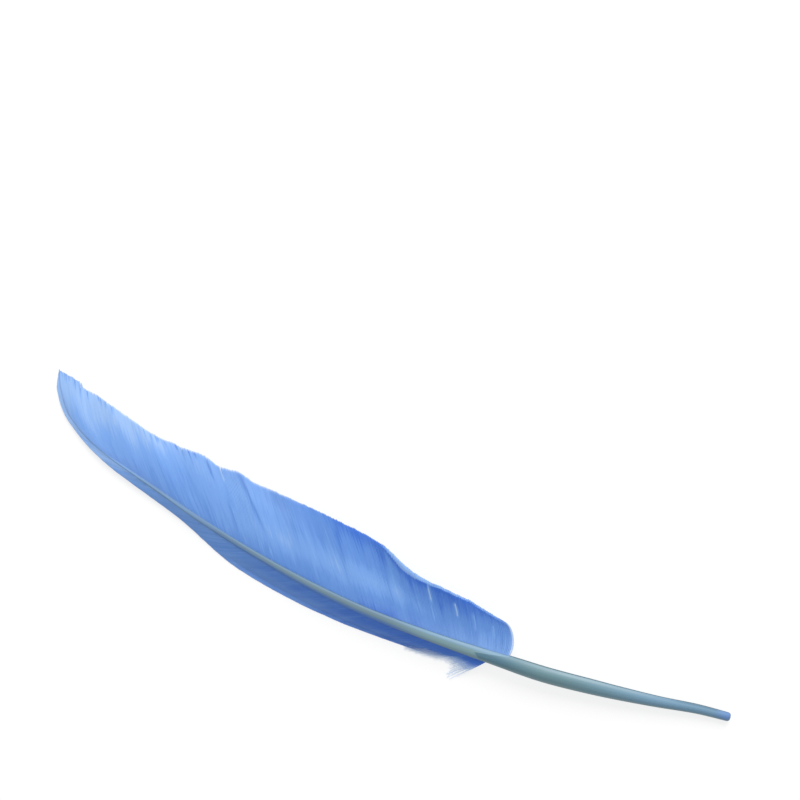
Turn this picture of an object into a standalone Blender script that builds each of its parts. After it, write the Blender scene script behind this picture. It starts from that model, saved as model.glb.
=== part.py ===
"""A turkey wing feather, dyed blue, as it lies on a table with its outer face up.

Metres, +Z up. +X runs along the straight line from the tip to the end of the quill, +Y towards the
wide vane. The origin is on the table, under the middle of the feather's box.

The feather grew as one piece, so it is one closed solid: a shaft that thins from the quill to the
tip, a wide and a narrow vane whose rows follow the barbs, and a tuft of down at the narrow vane's
base. It rests on its tip, on the quill's end and on the margin of the narrow vane.
"""

import math

import bmesh
import bpy

MM = 0.001

# Pairs below are millimetres: the distance from the tip along the feather, then the value there

LENGTH = 303.4
SHAFT_LINE = (
    (0, 0.6), (3, -4.2), (9, -11.3), (16, -15.8), (25, -19.2), (36, -21.5), (56, -24.0), (80, -27.1),
    (105, -29.1), (130, -29.9), (155, -29.1), (185, -25.8), (215, -21.4), (230, -19.1), (250, -14.4),
    (275, -7.9), (290, -3.7), (LENGTH, -0.8),
)
SHAFT_WIDTH = (
    (0, 0.9), (25, 1.0), (56, 1.6), (80, 2.1), (105, 2.5), (130, 3.1), (155, 3.6), (185, 4.4),
    (205, 5.3), (222, 5.9), (245, 5.9), (260, 5.4), (280, 4.4), (LENGTH, 3.5),
)
WIDE_EDGE = (
    (0, 0.6), (5, 0.5), (10, 0.0), (12, -1.4), (19, -1.5), (30, -3.1), (46, -5.2), (58, -4.8),
    (68, -3.5), (75, -4.6), (83, -3.1), (90, -4.0), (108, -2.8), (137, -1.7), (145, -2.0),
    (149, -2.5), (153, -3.6), (157, -5.0), (161, -5.9), (167, -6.6), (179, -6.3), (189, -6.0),
    (197, -6.9), (207, -7.6),
)
NARROW_EDGE = (
    (0, 0.6), (1, -1.8), (3, -5.8), (9, -12.7), (16, -17.3), (25, -21.3), (36, -24.5), (56, -27.7),
    (71, -30.3), (85, -33.8), (100, -36.9), (115, -38.2), (130, -38.5), (148, -37.7), (163, -35.7),
    (181, -33.2), (187, -33.6), (191, -35.6), (196, -39.0),
)

# Where a barb that leaves the shaft at the first distance ends on the vane's edge
WIDE_REACH = (
    (0, 0), (9, 0.4), (15, 1.6), (25, 6.5), (44, 23), (60, 38.3), (79, 54), (108, 85), (140, 112.5),
    (165, 141), (183, 167), (195, 182), (205, 195), (214, 207),
)
NARROW_REACH = (
    (0, 0), (9, 3), (16, 8.5), (25, 16), (36, 27), (56, 48), (80, 70), (105, 92), (130, 116),
    (155, 141.5), (180, 168), (190, 178), (197, 186), (205, 196),
)
WIDE_BEND = ((0, -5), (25, -12), (44, -9), (80, 0), (150, 2), (180, -2), (205, 12), (214, 44))
NARROW_BEND = ((0, 0), (40, 4), (180, 8), (205, 2))
WIDE_END = 214
NARROW_END = 205

# Heights over the table
CREST_AT = 165
CREST_HEIGHT = 6.3
TIP_HEIGHT = 0.6
WIDE_EDGE_UNDERSIDE = (
    (0, 0), (20, 1.3), (54, 3.9), (85, 5.9), (112, 7.4), (141, 9.2), (167, 10.3), (185, 10.2), (204, 8.6),
)
NARROW_EDGE_UNDERSIDE = ((0, 0), (30, 0.6), (60, 0.9), (85, 0.3), (95, 0), (180, 0), (196, 0.5))
WIDE_CAMBER = ((0, 0.6), (60, 1.1), (112, 0.8), (150, -0.4), (204, -0.9))
EDGE_CURL = 0.7
WAVE_HEIGHT = 0.35
SHEET_THICKNESS = 0.55
ATTACH_SHARE = 0.15

# The vanes' relief: one lock is a ridge and the groove beside it
LOCK_WIDTH = 5.4
LOCK_RELIEF = 0.11
WIDE_COLUMNS = (0, 0.07, 0.22, 0.4, 0.58, 0.76, 0.9, 1)
NARROW_COLUMNS = (0, 0.2, 0.45, 0.74, 1)

# Splits in the wide vane: where the barbs leave the shaft, how much of them stays joined, the gap
SPLITS = ((31, 0.74, 0.8), (94, 0.72, 0.9), (101.5, 0.84, 1.6), (108.5, 0.52, 0.4))
SPLIT_LIP = 0.4

# The tuft of down at the narrow vane's end: between its locks the barbs are cut shorter
TUFT_START = 184
TUFT_LOCK = 2.7
TUFT_NOTCH = ((TUFT_START, 0.04), (192, 0.22), (NARROW_END, 0.4))

REST_FROM, REST_TO = 112, 188
END_ROUNDING = ((0.6, 0.98), (0.85, 0.88), (0.97, 0.68))
QUILL_RINGS = 11
DYED_BLUE = (0.13, 0.27, 0.62, 1.0)


def along(pairs, at):
    """A smooth curve through the pairs, read at a distance from the tip."""
    at = min(max(at, pairs[0][0]), pairs[-1][0])
    i = next(n for n in range(len(pairs) - 1) if at <= pairs[n + 1][0])

    def slope(n):
        low, high = pairs[max(n - 1, 0)], pairs[min(n + 1, len(pairs) - 1)]
        return (high[1] - low[1]) / (high[0] - low[0])

    (x0, y0), (x1, y1) = pairs[i], pairs[i + 1]
    span = x1 - x0
    t = (at - x0) / span
    return (
        y0 * (1 + 2 * t) * (1 - t) ** 2
        + y1 * t * t * (3 - 2 * t)
        + span * t * (1 - t) * (slope(i) * (1 - t) - slope(i + 1) * t)
    )


def shaft_height(at):
    """Height of the shaft's middle line, an arch from the tip to the quill's end."""
    quill_height = along(SHAFT_WIDTH, LENGTH) / 2
    if at < CREST_AT:
        return CREST_HEIGHT - (CREST_HEIGHT - TIP_HEIGHT) * ((CREST_AT - at) / CREST_AT) ** 2
    return CREST_HEIGHT - (CREST_HEIGHT - quill_height) * ((at - CREST_AT) / (LENGTH - CREST_AT)) ** 2


def shaft_side(at, side):
    """Point on the shaft's side where the barbs leave it, and the height of the vane's middle there."""
    step = 0.5
    before, after = max(at - step, 0), min(at + step, LENGTH)
    rise = along(SHAFT_LINE, after) - along(SHAFT_LINE, before)
    run = math.hypot(after - before, rise)
    across = (-rise / run, (after - before) / run)
    half = along(SHAFT_WIDTH, at) / 2
    x = at + side * half * across[0]
    y = along(SHAFT_LINE, at) + side * half * across[1]
    return x, y, shaft_height(at) + 2 * half * ATTACH_SHARE


def shaft_ring(at, scale=1.0, ahead=0.0):
    """The shaft's section: ten points, from the wide vane's upper root round under the shaft."""
    half = along(SHAFT_WIDTH, at) / 2 * scale
    centre = at + ahead
    middle_y, middle_z = along(SHAFT_LINE, centre), shaft_height(centre)
    wide, narrow = shaft_side(at, 1), shaft_side(at, -1)
    width = math.dist(wide[:2], narrow[:2])
    across = ((wide[0] - narrow[0]) / width, (wide[1] - narrow[1]) / width)
    attach = 2 * half * ATTACH_SHARE
    upper = attach + SHEET_THICKNESS / 2 * scale
    lower = attach - SHEET_THICKNESS / 2 * scale
    section = (
        (1, upper), (1, lower), (0.72, -0.62 * half), (0, -half), (-0.72, -0.62 * half),
        (-1, lower), (-1, upper), (-0.6, 0.8 * half), (0, half), (0.6, 0.8 * half),
    )
    return [
        (centre + out * half * across[0], middle_y + out * half * across[1], middle_z + max(up, -middle_z))
        for out, up in section
    ]


def barb_point(start, end, bend, t):
    """A point on a barb seen from above, which leaves and ends at the bend from its straight line."""
    run, rise = end[0] - start[0], end[1] - start[1]
    turn = math.radians(bend) * (1 if rise > 0 else -1)
    leave = (run * math.cos(turn) + rise * math.sin(turn), rise * math.cos(turn) - run * math.sin(turn))
    arrive = (run * math.cos(turn) - rise * math.sin(turn), rise * math.cos(turn) + run * math.sin(turn))
    h0, h1 = (1 + 2 * t) * (1 - t) ** 2, t * t * (3 - 2 * t)
    g0, g1 = t * (1 - t) ** 2, -t * t * (1 - t)
    return tuple(h0 * start[n] + h1 * end[n] + g0 * leave[n] + g1 * arrive[n] for n in range(2))


def wave(at):
    """The slow swell and dip of the wide vane from one bundle of barbs to the next."""
    return WAVE_HEIGHT * (math.sin(at / 7.1) + 0.7 * math.sin(at / 3.4 + 1))


def wide_row(at, ridge, push, joined):
    """Upper and lower points of the wide vane along the barb that leaves the shaft at this distance."""
    x, y, attach = shaft_side(at, 1)
    reach = along(WIDE_REACH, at)
    end = (reach, along(WIDE_EDGE, reach))
    length = math.hypot(end[0] - x, end[1] - y)
    size = min(length / 25, 1)
    upper, lower = [], []
    for t in WIDE_COLUMNS:
        px, py = barb_point((x, y), end, along(WIDE_BEND, at), t)
        opened = max(t - joined, 0) / (1 - joined)
        px += push * opened
        under = (attach - SHEET_THICKNESS / 2) * (1 - t) + along(WIDE_EDGE_UNDERSIDE, reach) * t
        under += 4 * t * (1 - t) * along(WIDE_CAMBER, reach) * size
        under += (wave(at) * t - EDGE_CURL * max(t - 0.76, 0) / 0.24) * size
        under += ridge * math.sin(math.pi * min(t * 1.5, 1)) * size
        under = max(under, 0)
        upper.append((px, py, under + SHEET_THICKNESS))
        lower.append((px, py, under))
    return upper, lower


def narrow_row(at, ridge, notch):
    """Upper and lower points of the narrow vane, which slopes down to the table."""
    x, y, attach = shaft_side(at, -1)
    reach = along(NARROW_REACH, at)
    end = (reach + notch * (x - reach), along(NARROW_EDGE, reach) * (1 - notch) + y * notch)
    size = min(abs(end[1] - y) / 7, 1)
    upper, lower = [], []
    resting = REST_FROM <= at <= REST_TO
    for n, t in enumerate(NARROW_COLUMNS):
        px, py = barb_point((x, y), end, along(NARROW_BEND, at), t)
        flat = min(t / NARROW_COLUMNS[-2], 1) if resting else t
        under = (attach - SHEET_THICKNESS / 2) * (1 - flat) + along(NARROW_EDGE_UNDERSIDE, reach) * flat
        under += ridge * math.sin(math.pi * flat) * size
        on_table = resting and n >= len(NARROW_COLUMNS) - 2
        under = 0 if on_table else max(under, 0)
        upper.append((px, py, under + SHEET_THICKNESS))
        lower.append((px, py, under))
    return upper, lower


def row_places():
    """Where each row of the vanes leaves the shaft, with its ridge, split and tuft values."""
    places = []
    half_lock = LOCK_WIDTH / 2
    at = half_lock
    while at < TUFT_START:
        places.append(at)
        at += half_lock
    while at < NARROW_END - TUFT_LOCK / 4:
        places.append(at)
        at += TUFT_LOCK / 2
    places += [NARROW_END, (NARROW_END + WIDE_END) / 2 - 1.5, WIDE_END - 3, WIDE_END - 1, WIDE_END]
    rows = []
    for n, place in enumerate(places):
        if any(abs(place - split[0]) < SPLIT_LIP + 0.6 for split in SPLITS):
            continue
        rows.append({"at": place, "ridge": LOCK_RELIEF * (-1) ** n, "push": 0, "joined": 0, "opens": False})
    for split, joined, gap in SPLITS:
        for side in (-1, 1):
            rows.append({
                "at": split + side * SPLIT_LIP, "ridge": side * LOCK_RELIEF, "push": side * gap / 2,
                "joined": joined, "opens": side < 0,
            })
    rows.sort(key=lambda row: row["at"])
    tuft = [row for row in rows if TUFT_START <= row["at"] < NARROW_END]
    for n, row in enumerate(tuft):
        row["notch"] = along(TUFT_NOTCH, row["at"]) * (n % 2)
    return rows


class Solid:
    """Gathers the feather's points and faces in one bmesh."""

    def __init__(self, shift):
        self.mesh = bmesh.new()
        self.shift = shift
        self.found = {}

    def vertex(self, point):
        key = tuple(round(value, 4) for value in point)
        if key not in self.found:
            place = [(value + move) * MM for value, move in zip(point, self.shift)]
            self.found[key] = self.mesh.verts.new(place)
        return self.found[key]

    def face(self, *points):
        corners = []
        for point in points:
            corner = self.vertex(point)
            if corner not in corners:
                corners.append(corner)
        if len(corners) > 2:
            self.mesh.faces.new(corners)

    def sheet(self, rows, columns, missing):
        """Upper and lower faces of a vane, and the walls round it and round each missing cell."""
        count = len(rows) - 1

        def here(row, column):
            return 0 <= row < count and column < columns and (row, column) not in missing

        for j in range(count):
            (up0, low0), (up1, low1) = rows[j], rows[j + 1]
            for k in range(columns):
                if not here(j, k):
                    continue
                self.face(up0[k], up1[k], up1[k + 1], up0[k + 1])
                self.face(low0[k], low0[k + 1], low1[k + 1], low1[k])
                if not here(j, k + 1):
                    self.face(up0[k + 1], up1[k + 1], low1[k + 1], low0[k + 1])
                if k and not here(j, k - 1):
                    self.face(up0[k], up1[k], low1[k], low0[k])
                if not here(j - 1, k) and j:
                    self.face(up0[k], up0[k + 1], low0[k + 1], low0[k])
                if not here(j + 1, k):
                    self.face(up1[k], up1[k + 1], low1[k + 1], low1[k])


def split_cells(rows):
    """The cells that an open split leaves out of the wide vane."""
    missing = set()
    for j, row in enumerate(rows):
        if row["opens"]:
            first = next(k for k, t in enumerate(WIDE_COLUMNS) if t >= row["joined"] - 0.12)
            missing |= {(j + 1, k) for k in range(first, len(WIDE_COLUMNS) - 1)}
    return missing


def feather_mesh(shift):
    """The whole feather as one closed mesh, moved by the shift."""
    solid = Solid(shift)
    rows = row_places()
    tip = (0.0, SHAFT_LINE[0][1])
    tip_upper, tip_lower = (*tip, SHEET_THICKNESS), (*tip, 0.0)
    rings = [[tip_upper] + [tip_lower] * 5 + [tip_upper] * 4]
    wide = [([tip_upper] * len(WIDE_COLUMNS), [tip_lower] * len(WIDE_COLUMNS))]
    narrow = [([tip_upper] * len(NARROW_COLUMNS), [tip_lower] * len(NARROW_COLUMNS))]
    for row in rows:
        ring = shaft_ring(row["at"])
        upper, lower = wide_row(row["at"], row["ridge"], row["push"], row["joined"])
        wide.append(([ring[0]] + upper[1:], [ring[1]] + lower[1:]))
        if row["at"] <= NARROW_END:
            upper, lower = narrow_row(row["at"], row["ridge"], row.get("notch", 0))
            narrow.append(([ring[6]] + upper[1:], [ring[5]] + lower[1:]))
        rings.append(ring)
    solid.sheet(wide, len(WIDE_COLUMNS) - 1, split_cells(rows))
    solid.sheet(narrow, len(NARROW_COLUMNS) - 1, set())

    last_wide, last_narrow = len(wide) - 1, len(narrow) - 1
    end_radius = along(SHAFT_WIDTH, LENGTH) / 2
    body_end = LENGTH - end_radius
    for n in range(1, QUILL_RINGS + 1):
        rings.append(shaft_ring(WIDE_END + (body_end - WIDE_END) * n / QUILL_RINGS))
    for share, scale in END_ROUNDING:
        rings.append(shaft_ring(body_end, scale, share * end_radius))
    for j in range(len(rings) - 1):
        for side in range(10):
            if side == 0 and j < last_wide or side == 5 and j < last_narrow:
                continue
            after = (side + 1) % 10
            solid.face(rings[j][side], rings[j][after], rings[j + 1][after], rings[j + 1][side])
    end = (LENGTH, along(SHAFT_LINE, LENGTH), shaft_height(LENGTH))
    for side in range(10):
        solid.face(rings[-1][side], rings[-1][(side + 1) % 10], end)
    bmesh.ops.recalc_face_normals(solid.mesh, faces=solid.mesh.faces)
    return solid.mesh


def middle_of(mesh):
    """How far to move the mesh so that the middle of its box is over the origin, in millimetres."""
    shift = []
    for axis in range(2):
        values = [vertex.co[axis] for vertex in mesh.verts]
        shift.append(-(min(values) + max(values)) / 2 / MM)
    return (*shift, 0.0)


def dyed_feather_material():
    material = bpy.data.materials.new("dyed_feather")
    material.use_nodes = True
    shader = material.node_tree.nodes["Principled BSDF"]
    shader.inputs["Base Color"].default_value = DYED_BLUE
    shader.inputs["Roughness"].default_value = 0.6
    shader.inputs["Metallic"].default_value = 0.0
    return material


def make_feather():
    first = feather_mesh((0.0, 0.0, 0.0))
    shift = middle_of(first)
    first.free()
    mesh = feather_mesh(shift)
    data = bpy.data.meshes.new("feather")
    mesh.to_mesh(data)
    mesh.free()
    data.materials.append(dyed_feather_material())
    data.shade_smooth()
    data.set_sharp_from_angle(angle=math.radians(40))
    feather = bpy.data.objects.new("feather", data)
    bpy.context.scene.collection.objects.link(feather)
    return feather


for leftover in list(bpy.data.objects):
    bpy.data.objects.remove(leftover, do_unlink=True)
make_feather()
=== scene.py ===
"""A dyed turkey wing feather on a pale table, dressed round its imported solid.

The tables below are millimetres in the feather's own line: x from the tip to the quill's end, y
towards the wide vane, z up from the table. in_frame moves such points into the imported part's frame.
"""

import math

import bpy
import numpy as np
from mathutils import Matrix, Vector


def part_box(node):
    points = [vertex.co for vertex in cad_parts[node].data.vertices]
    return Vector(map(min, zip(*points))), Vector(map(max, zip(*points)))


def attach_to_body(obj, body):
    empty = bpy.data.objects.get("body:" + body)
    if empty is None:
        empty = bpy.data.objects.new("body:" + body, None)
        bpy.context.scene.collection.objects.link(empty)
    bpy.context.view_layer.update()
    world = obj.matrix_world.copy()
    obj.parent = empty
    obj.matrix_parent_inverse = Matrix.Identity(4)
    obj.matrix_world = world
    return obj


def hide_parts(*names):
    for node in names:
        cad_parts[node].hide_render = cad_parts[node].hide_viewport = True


bl_info = {
    "name": "Dyed Wing Feather",
    "version": (1, 0, 0),
    "blender": (4, 5, 0),
    "location": "3D View > Sidebar > Feather",
    "description": "Shaft, barbed vanes and down of a dyed wing feather, with its table and light",
    "category": "Object",
}

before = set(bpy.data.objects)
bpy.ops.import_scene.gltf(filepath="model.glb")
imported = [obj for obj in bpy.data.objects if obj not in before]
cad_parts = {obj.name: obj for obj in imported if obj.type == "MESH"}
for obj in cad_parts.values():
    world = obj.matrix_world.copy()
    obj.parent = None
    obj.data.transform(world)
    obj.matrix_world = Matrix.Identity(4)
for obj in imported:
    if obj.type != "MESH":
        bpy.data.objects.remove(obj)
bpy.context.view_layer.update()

MM = 0.001
SEED = 11
FEATHER_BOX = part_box("feather")

# How far the solid reaches past the feather's own line on the wide side
QUILL_SIDE = 0.76
TO_FRAME = (FEATHER_BOX[0].x / MM, FEATHER_BOX[1].y / MM - QUILL_SIDE, 0.0)

LENGTH = 303.4
SHAFT_LINE = (
    (0, 0.6), (3, -4.2), (9, -11.3), (16, -15.8), (25, -19.2), (36, -21.5), (56, -24.0), (80, -27.1),
    (105, -29.1), (130, -29.9), (155, -29.1), (185, -25.8), (215, -21.4), (230, -19.0), (250, -14.55),
    (262, -11.6), (275, -8.15), (290, -3.75), (LENGTH, -0.8),
)
SHAFT_WIDTH = (
    (0, 0.4), (25, 0.7), (56, 1.5), (80, 2.1), (105, 2.5), (130, 3.1), (155, 3.6), (185, 4.4),
    (205, 5.4), (222, 6.4), (245, 6.3), (260, 5.55), (280, 4.35), (LENGTH, 3.6),
)
WIDE_EDGE = (
    (0, 0.6), (5, 0.5), (10, 0.0), (12, -1.4), (19, -1.5), (30, -3.0), (46, -4.9), (54, -4.5),
    (58, -4.4), (68, -3.2), (75, -4.3), (83, -2.6), (90, -3.6), (96, -3.2), (108, -2.4), (137, -1.6),
    (145, -2.0), (149, -2.5), (153, -3.6), (157, -5.0), (161, -5.9), (167, -6.6), (179, -6.3),
    (189, -6.0), (197, -6.9), (207, -7.6),
)
NARROW_EDGE = (
    (0, 0.6), (0.7, -2.1), (2.5, -6.4), (8.8, -13.4), (16, -17.8), (25, -21.7), (36, -24.8), (46, -26.6),
    (56, -28.2), (71, -30.8), (85, -34.6), (92, -36.5), (100, -37.9), (115, -39.0), (130, -39.2),
    (139, -38.8), (148, -38.3), (163, -36.6), (172, -35.4), (181, -34.4), (187, -34.6), (191, -36.2),
    (196, -39.0),
)

# Where a barb that leaves the shaft at the first distance ends on the vane's edge, how far it turns
# off its straight line at both ends, in degrees with a sign, and where the last barbs leave
WIDE_REACH = (
    (0, 0), (9, 0.4), (15, 1.6), (25, 6.5), (44, 23), (60, 38.3), (79, 54), (108, 85), (140, 112.5),
    (165, 141), (183, 167), (195, 182), (205, 195), (214, 207),
)
NARROW_REACH = (
    (0, 0), (9, 3), (16, 8.5), (25, 16), (36, 27), (56, 48), (80, 70), (105, 92), (130, 116),
    (155, 141.5), (180, 168), (190, 178), (197, 186), (205, 196),
)
WIDE_BEND = ((0, -5), (25, -12), (44, -9), (80, 0), (150, 2), (180, -2), (205, 12), (214, 44))
NARROW_BEND = ((0, 0), (40, -4), (180, -8), (205, -2))
WIDE_END = 212.9
NARROW_END = 205

# Heights over the table: the shaft's arch, the undersides of both edges, the wide vane's camber, the
# curl of its edge and its slow swell
CREST_AT = 165
CREST_HEIGHT = 6.3
TIP_HEIGHT = 0.6
WIDE_EDGE_UNDERSIDE = (
    (0, 0), (20, 1.3), (54, 3.9), (85, 5.9), (112, 7.4), (141, 9.2), (167, 10.3), (185, 10.2), (204, 8.6),
)
NARROW_EDGE_UNDERSIDE = (
    (0, 0.2), (10, 0.7), (30, 1.7), (50, 1.7), (70, 0.8), (88, 0.1), (95, 0), (180, 0), (196, 0.5),
)
WIDE_CAMBER = ((0, 0.6), (60, 1.1), (112, 0.8), (150, -0.4), (204, -0.9))
EDGE_CURL = ((0, 0.1), (110, 0.2), (148, 0.45), (165, 0.7), (204, 0.6))
EDGE_CURL_WIDTH = 2.2
SWELL_HEIGHT = 0.35
SHEET_THICKNESS = 0.55

# Where the barbs leave the shaft: how high over its middle and how far out, as shares of its half width
ATTACH_HEIGHT = ((0, 1.15), (28, 1.1), (45, 0.4), (75, 0.3))
ATTACH_SIDE = ((0, 0.1), (28, 0.15), (45, 0.9), (75, 0.85))

# Openings between barbs of the wide vane: root, share of the barb where each opens and closes
# (past 1 it stays open at the edge), gap, and how far its neighbours take part
OPENINGS = (
    (29.2, 0.80, 1.30, 0.34, 1.8),
    (82.9, 0.86, 1.16, 0.25, 1.5),
    (92.3, 0.78, 1.25, 0.28, 2.0),
    (98.6, 0.84, 1.16, 0.42, 2.0),
    (184.9, 0.60, 0.90, 0.12, 1.4),
    (193.6, 0.48, 0.76, 0.22, 1.8),
    (199.5, 0.40, 0.66, 0.10, 1.5),
)

# Folds where one bundle of barbs lies over the next: where each would meet the shaft and the edge,
# share of the barb where it begins and ends, half its breadth, how dark the painted shade on its low
# side is and how light the painted highlight on its high side
FOLDS = (
    (27.5, 29.2, 0.62, 1.10, 0.45, 0.60, 0.25),
    (36.0, 37.5, 0.74, 1.10, 0.35, 0.30, 0.20),
    (55.0, 56.4, 0.68, 1.10, 0.40, 0.42, 0.25),
    (62.0, 67.0, 0.68, 1.10, 0.45, 0.42, 0.25),
    (80.0, 82.9, 0.70, 1.10, 0.32, 1.00, 0.20),
    (83.6, 86.0, 0.66, 0.98, 0.28, 0.60, 0.15),
    (94.0, 92.3, 0.62, 1.02, 0.48, 1.30, 0.25),
    (97.9, 96.2, 0.06, 0.60, 0.40, 0.42, 0.25),
    (114.6, 105.8, 0.20, 1.10, 1.25, 0.55, 0.30),
    (128.0, 129.0, 0.20, 0.80, 1.00, 0.22, 0.25),
    (147.3, 152.4, 0.14, 0.97, 1.20, 0.42, 0.20),
    (166.6, 169.3, 0.08, 0.97, 1.20, 0.42, 0.15),
    (178.0, 178.5, 0.30, 0.90, 0.60, 0.25, 0.10),
    (188.0, 188.4, 0.15, 0.75, 0.50, 0.25, 0.10),
)

# Painted highlights along single barbs that have slipped: where each would meet the shaft and the edge,
# share of the barb where it begins and ends, and how strong the painted highlight is
SLIPPED_HIGHLIGHTS = (
    (45.0, 46.5, 0.66, 0.90, 0.14),
    (97.0, 98.6, 0.76, 1.02, 0.34),
    (112.0, 110.0, 0.02, 0.22, 0.30),
    (183.5, 184.9, 0.20, 0.84, 0.14),
    (183.5, 184.9, 0.56, 0.97, 0.34),
    (194.2, 193.6, 0.48, 0.80, 0.80),
    (199.7, 199.9, 0.30, 0.74, 0.24),
    (206.5, 207.0, 0.30, 0.70, 0.16),
)

# How light the dyed vane is, from 0 to 1, along the feather: by the shaft, halfway and by the edge. The
# tables hold the dye's tone, and on the outer part near the base painted shade where the vane cups
# away from the lamp; the last table is a painted satin highlight between the shaft and halfway
WIDE_TONE_ROOT = (
    (0, 0.84), (20, 0.68), (32, 0.60), (40, 0.58), (60, 0.52), (100, 0.43), (120, 0.28), (140, 0.40),
    (160, 0.25), (175, 0.46), (190, 0.70), (203, 0.82), (212, 0.85),
)
WIDE_TONE_HALF = (
    (0, 0.92), (20, 0.84), (40, 0.76), (60, 0.60), (80, 0.64), (100, 0.80), (120, 0.80), (140, 0.76),
    (160, 0.56), (175, 0.28), (190, 0.20), (203, 0.32), (212, 0.38),
)
WIDE_TONE_EDGE = (
    (0, 1.00), (20, 1.04), (40, 1.04), (60, 0.82), (80, 0.76), (100, 0.52), (120, 0.20), (140, 0.02),
    (160, 0.06), (175, 0.02), (190, 0.05), (203, 0.14), (212, 0.22),
)
SATIN_HIGHLIGHT = (
    (0, 0), (88, 0), (100, 0.12), (122, 0.22), (140, 0.30), (160, 0.40), (172, 0.16), (184, 0.06),
    (196, 0),
)
NARROW_TONE = (
    (0, 1.00), (12, 0.96), (30, 0.84), (45, 0.75), (60, 0.66), (80, 0.55), (105, 0.36), (140, 0.25),
    (160, 0.21), (205, 0.20),
)

# How grey the wide vane turns close to the shaft
ROOT_GREY = ((0, 0.5), (15, 0.9), (34, 1), (50, 1), (66, 0.3), (140, 0.2), (160, 0.7), (212, 0.9))

# Painted light along the wide vane's thin curled edge: how strong it is, and how wide
RIM_LIGHT_STRENGTH = (
    (0, 0.10), (30, 0.30), (100, 0.30), (125, 0.15), (146, 0.50), (150, 1.0), (165, 1.1), (180, 1.0),
    (188, 0.9), (197, 0.8), (203, 0.40), (207, 0.50),
)
RIM_WIDTH = (
    (0, 0.5), (120, 0.5), (145, 0.5), (148, 1.2), (151, 2.0), (155, 2.8), (159, 2.6), (163, 2.1),
    (168, 1.4), (177, 1.0), (188, 0.8), (193, 0.9), (207, 0.8),
)

# Over what length the barbs of the wide vane thin out at its edge
FRINGE = ((0, 0.8), (35, 1.1), (100, 1.1), (118, 0.7), (207, 0.6))

# How strong the painted highlight along the shaft's wide side is
HIGHLIGHT_BAND_STRENGTH = (
    (0, 0.0), (120, 0.05), (175, 0.2), (200, 0.45), (215, 0.38), (240, 0.68), (262, 0.46), (284, 0.0),
)

# Share of each barb at the narrow vane's base that is whole and dyed, the share that its soft end
# reaches, and the line that no down crosses
TUFT_WHOLE = (
    (182, 1.05), (188, 0.85), (192, 0.60), (195, 0.42), (197, 0.32), (200, 0.24), (203, 0.18),
    (205, 0.10),
)
TUFT_REACH = ((182, 1.0), (194, 1.0), (197, 0.94), (199, 0.78), (201, 0.80), (203, 0.93), (205, 1.0))
DOWN_LIMIT = -39.0

# Sections along one barb or strand, and corners of each section
WIDE_STEPS, NARROW_STEPS, DOWN_STEPS = 25, 17, 15
BARB_SIDES, DOWN_SIDES, SHAFT_SIDES = 6, 3, 36

# Barbs shorter than the first length carry less relief, and the second is the least that counts when
# their ends are made uneven
FULL_BARB, SHORT_BARB = 25, 3

# Ends of the wide vane's barbs: how far they fall short of the edge and how far all are drawn past
# it, and how much that changes from bundle to bundle and from barb to barb
END_SHORT, END_PAST, END_WAVE, END_JITTER = 0.25, 0.15, 0.22, 0.2

# Height of the small waves in each vane's sheet
WIDE_WAVE, NARROW_WAVE = 0.12, 0.08

# Folds: shares of the barb over which one begins and ends, its height and how steep its step is
FOLD_BEGINS, FOLD_ENDS, FOLD_HEIGHT, FOLD_STEP = 0.3, 0.2, 0.16, 0.6

# How light the painted highlight on a fold's high side is, how dark the painted shade on its low side
# and how light the painted highlight along a slipped barb, and half the breadth of a slipped barb
FOLD_HIGHLIGHT, FOLD_SHADE, SLIPPED_HIGHLIGHT, SLIPPED_BREADTH = 0.3, 0.42, 2.0, 0.36

# Degrees that barbs roll about their length: in small groups, in bundles and one by one, and by folds
WIDE_ROLL = (4.5, 5, 2.5)
FOLD_ROLL_HIGH, FOLD_ROLL_LOW = 6, 9
NARROW_ROLL = (2, 3)

# Place of the painted satin highlight as a share of the barb, and its breadth
SATIN_HIGHLIGHT_PLACE, SATIN_HIGHLIGHT_BREADTH = 0.38, 0.16

# Reach of the grey beside the shaft, how dark it is and how pale
GREY_BREADTH, GREY_DARK, GREY_PALE = 4.5, 0.2, 0.07

# Share of the wide vane's barbs whose end is creased, how dark the painted shade in a crease is and
# how far in it reaches
CREASED_SHARE, CREASE_SHADE, CREASE_REACH = 0.11, (0.4, 0.85), (2.5, 6)

# The narrow vane's first barbs start nearer to the shaft's middle by this share, and a little lower
TUCKED_SIDE, TUCKED_HEIGHT = 0.6, 0.02

# Share of the barb from which the narrow vane's margin lies on the table
MARGIN_SHARE = 0.76

# A blade's half width: the least and the greatest before it tapers, and the least after that
BLADE_LEAST, BLADE_MOST, BLADE_POINT = 0.05, 0.42, 0.035

# Down: where its first strand leaves the shaft, half widths of strands and barbules, how low each may
# lie, and the barbules' angle to the strand, their bend in degrees, their lift and their lengths
DOWN_START = 187
STRAND_HALF, BARBULE_HALF = 0.05, 0.02
STRAND_FLOOR, BARBULE_FLOOR = 0.12, 0.1
BARBULE_ANGLE, BARBULE_BEND, BARBULE_LIFT = (28, 58), 40, 0.5
BARBULE_FIRST, BARBULE_LONG, BARBULE_PARTS = 0.4, (1.2, 2.7), 3

# The rachis is a little square up to the quill, and has a groove below
SQUARE, GROOVE_DEPTH, GROOVE_WIDTH = 0.30, 0.22, 0.28

# The quill's rounded end: how far ahead each section is and how wide, as shares of the end's radius
QUILL_ROUNDING = (
    (0.35, 0.99), (0.62, 0.93), (0.82, 0.80), (0.94, 0.62), (0.99, 0.42), (0.98, 0.25), (0.90, 0.1),
)

# Wedge where the bare quill begins: its point, and how far it runs up the wide and the narrow side
WEDGE_POINT, WEDGE_WIDE, WEDGE_NARROW = 199.3, 17.0, -3.0

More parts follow.
